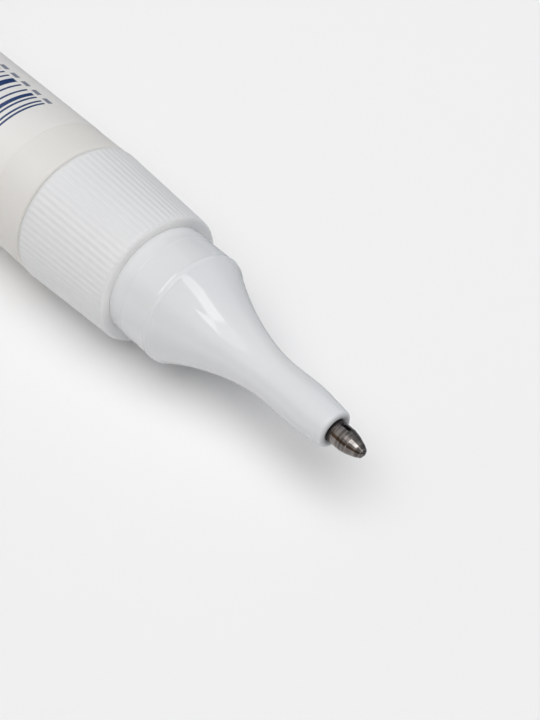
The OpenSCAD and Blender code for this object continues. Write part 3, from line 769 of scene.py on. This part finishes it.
# %% Clip
clip_angle, clip_w, clip_in_r, clip_out_r = np.radians(225), 4.0, 9.38, 10.58
clip_back, clip_front = cap_end + 2.0, cap_mouth - 8.56
root_front, root_r, root_run = clip_back + 3.7, 7.1, 0.6
nub_back, nub_r, nub_run = clip_front - 1.3, clip_in_r - 0.65, 0.4
clip_edge, clip_sides = 0.3, 32
underside = rounded([
    (clip_back, root_r, 0), (root_front, root_r, 0), (root_front + root_run, clip_in_r, 0.9),
    (nub_back - nub_run, clip_in_r, 0.3), (nub_back, nub_r, 0.25), (clip_front, nub_r, 0)])
underside = resample(underside, 1.0)
end_cut = clip_edge * (1 - np.cos(np.linspace(0, np.pi / 2, 7)))
bar_x = underside[:, 0]
bar_x = bar_x[(bar_x > clip_back + clip_edge) & (bar_x < clip_front - clip_edge)]
station = np.r_[clip_back, clip_back + end_cut, bar_x, clip_front - end_cut[::-1], clip_front]


def clip_grid(station):
    """Grid of the clip: stations along the axis by points round a rounded rectangle.

    With half width a, half height b and corner radius f, a corner's point at angle p is
    (a - f + f sin p, b - f + f cos p), mirrored into all four corners. Near an end, a, b and f lose
    what a quarter circle takes: f (1 - sqrt(1 - (1 - d / f)^2)) at a distance d from that end."""
    low = np.interp(station, *underside.T)
    near = np.clip(np.minimum(station - clip_back, clip_front - station) / clip_edge, 0, 1)
    loss = clip_edge * (1 - np.sqrt(1 - (1 - near) ** 2))[:, None]
    turn = even_angles(clip_sides) + np.pi / clip_sides
    side, lift = np.sign(np.sin(turn)), np.sign(np.cos(turn))
    half_height = (clip_out_r - low)[:, None] / 2
    bend = clip_edge - loss
    wide = side * (clip_w / 2 - loss - bend) + bend * np.sin(turn)
    high = lift * (half_height - loss - bend) + bend * np.cos(turn)
    wide[[0, -1]], high[[0, -1]] = 0, 0
    out = (clip_out_r + low)[:, None] / 2 + high
    y = out * np.sin(clip_angle) + wide * np.cos(clip_angle)
    z = axis_z + out * np.cos(clip_angle) - wide * np.sin(clip_angle)
    return np.stack([station[:, None] + collar_x + 0 * wide, y, z], axis=-1)


cap_clip = skin("cap_clip", clip_grid(station), poles=True)
dress(cap_clip, "cap", cap_plastic)

# %% [markdown]
# ## The valve spring
# The spring holds the rod and the ball forward, and is squeezed when the tip is pressed. A imported solid
# can't shorten, so the spring is wound again here: a round wire along a helix whose end turns lie
# closer together. In the pen it stays put at the retainer while its front end follows the rod; here it
# rides on the nozzle at its resting length, with a mesh of its own.

# %% Valve spring
spring_r, wire_r, spring_turns, spring_closing, tip_travel = 1.0, 0.12, 5, 9, 0.4
spring_back, spring_front = ends("valve_spring")


def spring_grid(rings, sides):
    """Grid of a wire wound round the axis, with a single point at each end.

    At a share u of its way the wire's middle has turned by turns * u, against the angle, and has
    climbed u - sin(2 pi u) / closing of the rise between its ends."""
    u = np.linspace(0, 1, rings)[:, None]
    turn = -2 * np.pi * spring_turns * u
    climb = (spring_front - spring_back - 2 * wire_r) * (u - np.sin(2 * np.pi * u) / spring_closing)
    thick = np.vstack([[0], np.full((rings - 2, 1), wire_r), [0]])
    turn[[0, -1]], climb[[0, -1]] = turn[[1, -2]], climb[[1, -2]]
    out = spring_r + thick * np.cos(even_angles(sides))
    x = collar_x + spring_back + wire_r + climb + thick * np.sin(even_angles(sides))
    return np.stack([x, out * np.sin(turn), axis_z + out * np.cos(turn)], axis=-1)


valve_coil = skin("valve_coil", spring_grid(rings=163, sides=12), poles=True)
dress(valve_coil, "nozzle", bright_steel, "valve_spring")
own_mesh(valve_coil)

# %% [markdown]
# ## The pieces inside
# The fluid, the mixing ball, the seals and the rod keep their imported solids, because their shapes are
# already right and they only show when the pen comes apart. They get finishes of their own.

# %% Inner finishes
inner_finishes = {
    "correction_fluid": wet_fluid, "mixing_ball": bright_steel, "push_rod": bright_steel,
    "spring_retainer": collar_plastic, "neck_gasket": seal_rubber, "cap_seal": seal_rubber}
for node, finish in inner_finishes.items():
    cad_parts[node].material_slots[0].material = finish
print("inner pieces:", ", ".join(inner_finishes))

# %% [markdown]
# ## The table
# The pen lies on a plain pale table. A backdrop with a curved rear would hide the horizon, but from
# above a flat sheet is enough. It is dull, so that the shadow under the pen stays soft and plain. To
# mirrored rays its far side is darker, which gives the glossy nozzle the dark edge of the photograph.

# %% Table
table_reach, far_start, far_full = 3.0, -5.0, 10.0
table_white, table_reflected_shade = (0.88, 0.88, 0.88, 1), (0.36, 0.37, 0.39, 1)
table_mesh = bpy.data.meshes.new("table_top")
table_corners = np.array([(-1, -1, 0), (1, -1, 0), (1, 1, 0), (-1, 1, 0)]) * table_reach
table_mesh.from_pydata(table_corners.tolist(), [], [(0, 1, 2, 3)])
table_top = bpy.data.objects.new("table_top", table_mesh)
bpy.context.scene.collection.objects.link(table_top)
pale, tree, shader = start_material("pale_table")
mirrored = tree.nodes.new("ShaderNodeLightPath").outputs["Is Glossy Ray"]
split = tree.nodes.new("ShaderNodeSeparateXYZ")
feed(tree, split.inputs[0], own_place(tree))
# Painted shade seen only in reflections: to mirrored rays the table's far side turns dark grey.
far_shade_share = between(tree, split.outputs["Y"], far_start * MM, far_full * MM)
reflected_shade = maths(tree, "MULTIPLY", mirrored, far_shade_share)
feed(tree, shader.inputs["Base Color"], blend_colours(tree, reflected_shade, table_white, table_reflected_shade))
shader.inputs["Roughness"].default_value = 1.0
shader.inputs["Specular IOR Level"].default_value = 0.0
table_mesh.materials.append(pale)
print("table:", 2 * table_reach, "m square")

# %% [markdown]
# ## The light
# The light is a white tent: a bright roof that leans to the near side, dim walls, a dark foot at the near
# horizon and a brighter one at the far horizon, which give the white plastic its grey edges and the pen
# a tight shadow. The tent is a world shader that looks only at a direction, so it needs no lamp objects.
# Mirrored rays see a second set of levels, with a dark foot on both sides, because gloss needs a shape to
# mirror while soft light only needs a direction.

# %% Tent
world = bpy.data.worlds.new("white_tent")
world.use_nodes = True
bpy.context.scene.world = world
tree = world.node_tree
tree.nodes.clear()
split = tree.nodes.new("ShaderNodeSeparateXYZ")
feed(tree, split.inputs[0], tree.nodes.new("ShaderNodeTexCoord").outputs["Generated"])
east, north, rise = split.outputs
lean_east, lean_north, lean_up, side_blend = 0.1, -0.15, 0.98, 0.4


def slant(start, by_east, by_north):
    """A height over the sky: start, plus so much for each unit to the east and to the north."""
    return maths(tree, "MULTIPLY_ADD", east, by_east, maths(tree, "MULTIPLY_ADD", north, by_north, start))


def grey(level, red=1.0, blue=1.0):
    """A colour of one level, with a little more or less red and blue."""
    return level * red, level, level * blue, 1


def tent(roof, near_wall, far_wall, near_foot, far_foot, near_rise, far_rise, roof_edge):
    """Colour by direction: feet at the horizon, walls above them and a roof that leans to the near side."""
    near = blend_colours(tree, between(tree, rise, *near_rise), near_foot, near_wall)
    far = blend_colours(tree, between(tree, rise, *far_rise), far_foot, far_wall)
    lower = blend_colours(tree, between(tree, north, -side_blend, side_blend), near, far)
    lean = slant(maths(tree, "MULTIPLY", rise, lean_up), lean_east, lean_north)
    return blend_colours(tree, between(tree, lean, *roof_edge), lower, roof)


soft_tent = tent(roof=grey(3.1), near_wall=grey(0.42, 1.01, 0.98), far_wall=grey(0.22, 0.98, 1.04),
                 near_foot=grey(0.12), far_foot=grey(0.9, 0.98, 1.04),
                 near_rise=(0.1, 0.4), far_rise=(0.1, 0.35), roof_edge=(0.76, 0.97))
seen_tent = tent(roof=grey(0.95), near_wall=grey(0.75, 1.01, 0.98), far_wall=grey(0.6, 0.97, 1.05),
                 near_foot=grey(0.2, 1.35, 0.7), far_foot=grey(0.25, 0.98, 1.04),
                 near_rise=(0.4, 0.56), far_rise=(0.2, 0.6), roof_edge=(0.8, 0.97))
print("tent:", len(tree.nodes), "nodes")

# %% [markdown]
# ## The panel in the roof
# The streak on the bell is the mirror image of a bright panel in the roof, and its kink is a notch in
# the panel's side. Seen from the pen, the panel is the region inside six straight edges, two of which
# bend at the notch. An edge is a height that grows towards the inside, so the lowest of all heights
# is positive only inside the panel. A dimmer round glow lies behind it. A lamp to the rear lights what
# faces backwards, such as the bead's rear side, and a dark gap gives the metal tip its black patch.

# %% Roof panel
def region(*limits):
    """1 inside soft limits and 0 outside them, from rows of (value, 0 at, 1 at)."""
    share = 1.0
    for value, none, full in limits:
        share = maths(tree, "MULTIPLY", between(tree, value, none, full), share)
    return share


def away(value, middle, reach):
    """Squared distance from a middle, counted in reaches."""
    return maths(tree, "POWER", maths(tree, "DIVIDE", maths(tree, "SUBTRACT", value, middle), reach), 2.0)


notch_north, left_bend, right_bend, panel_softness = -0.27, 0.23, 0.58, 0.03
panel_fade, panel_front, panel_back = (0.25, 0.4), grey(4.2, 0.98, 1.01), grey(3.2)
notch = maths(tree, "ABSOLUTE", maths(tree, "SUBTRACT", north, notch_north))
left_side = maths(tree, "MULTIPLY_ADD", notch, left_bend, slant(-0.155, 1.0, 0.0))
right_side = maths(tree, "MULTIPLY_ADD", notch, right_bend, slant(0.21, -1.0, 0.0))
right_side = maths(tree, "MAXIMUM", right_side, slant(0.195, -0.33, 1.0))
inner = maths(tree, "MINIMUM", left_side, right_side)
for straight in (slant(0.005, 1.05, -1.0), slant(0.36, -0.3, -1.0), slant(0.686, -0.82, 1.0), rise):
    inner = maths(tree, "MINIMUM", inner, straight)
panel = between(tree, inner, 0.0, panel_softness)
panel_colour = blend_colours(tree, between(tree, east, *panel_fade), panel_front, panel_back)
glow_away = maths(tree, "ADD", away(east, 0.05, 0.18), away(north, -0.28, 0.34))
glow = region((glow_away, 1.15, 0.85))
lamp = region((east, -0.64, -0.69), (rise, 0.2, 0.3), (north, -0.5, -0.42), (north, 0.12, 0.04))
gap = region((east, -0.28, -0.36), (north, 0.42, 0.5), (rise, 0.68, 0.6))
seen_light = blend_colours(tree, gap, blend_colours(tree, glow, seen_tent, grey(1.8)), grey(0.02))
seen_light = blend_colours(tree, panel, seen_light, panel_colour)
seen_light = blend_colours(tree, lamp, seen_light, grey(3.0))
print("tent and panel:", len(tree.nodes), "nodes")

# %% Backdrop
ray = tree.nodes.new("ShaderNodeLightPath").outputs
tent_light, plain = tree.nodes.new("ShaderNodeBackground"), tree.nodes.new("ShaderNodeBackground")
feed(tree, tent_light.inputs["Color"], blend_colours(tree, ray["Is Glossy Ray"], soft_tent, seen_light))
plain.inputs["Color"].default_value = grey(0.863)
choose = tree.nodes.new("ShaderNodeMixShader")
feed(tree, choose.inputs[0], ray["Is Camera Ray"])
feed(tree, choose.inputs[1], tent_light.outputs[0])
feed(tree, choose.inputs[2], plain.outputs[0])
feed(tree, tree.nodes.new("ShaderNodeOutputWorld").inputs[0], choose.outputs[0])
print("backdrop: plain")

# %% [markdown]
# ## The camera
# The photograph looks down on the tip from in front and to the left, with a long lens close up. Its
# place and its two angles come from matching the pen's edges and joints. The picture is shown with
# plain tone, so that the whites keep their greys.

# %% Camera
def aimed(position, forward):
    """A place and a turn: local -Z looks along forward, and local Y leans towards the sky."""
    back = -np.array(forward, float) / np.linalg.norm(forward)
    side = np.cross((0, 0, 1), back)
    side /= np.linalg.norm(side)
    matrix = np.eye(4)
    matrix[:3, :4] = np.column_stack([side, np.cross(back, side), back, np.array(position, float)])
    return Matrix(matrix.tolist())


camera_mm = (138.16, -68.93, 130.92)
heading, tilt = np.radians(48.0), np.radians(49.2)
looking = (-np.sin(heading) * np.cos(tilt), np.cos(heading) * np.cos(tilt), -np.sin(tilt))
lens = bpy.data.cameras.new("camera")
lens.lens, lens.sensor_width, lens.clip_start = 75, 36, 0.01
camera = bpy.data.objects.new("camera", lens)
bpy.context.scene.collection.objects.link(camera)
camera.matrix_world = aimed(np.array(camera_mm) * MM, looking)
bpy.context.scene.camera = camera
bpy.context.scene.view_settings.view_transform = "Standard"
print("camera at", camera_mm, "mm")
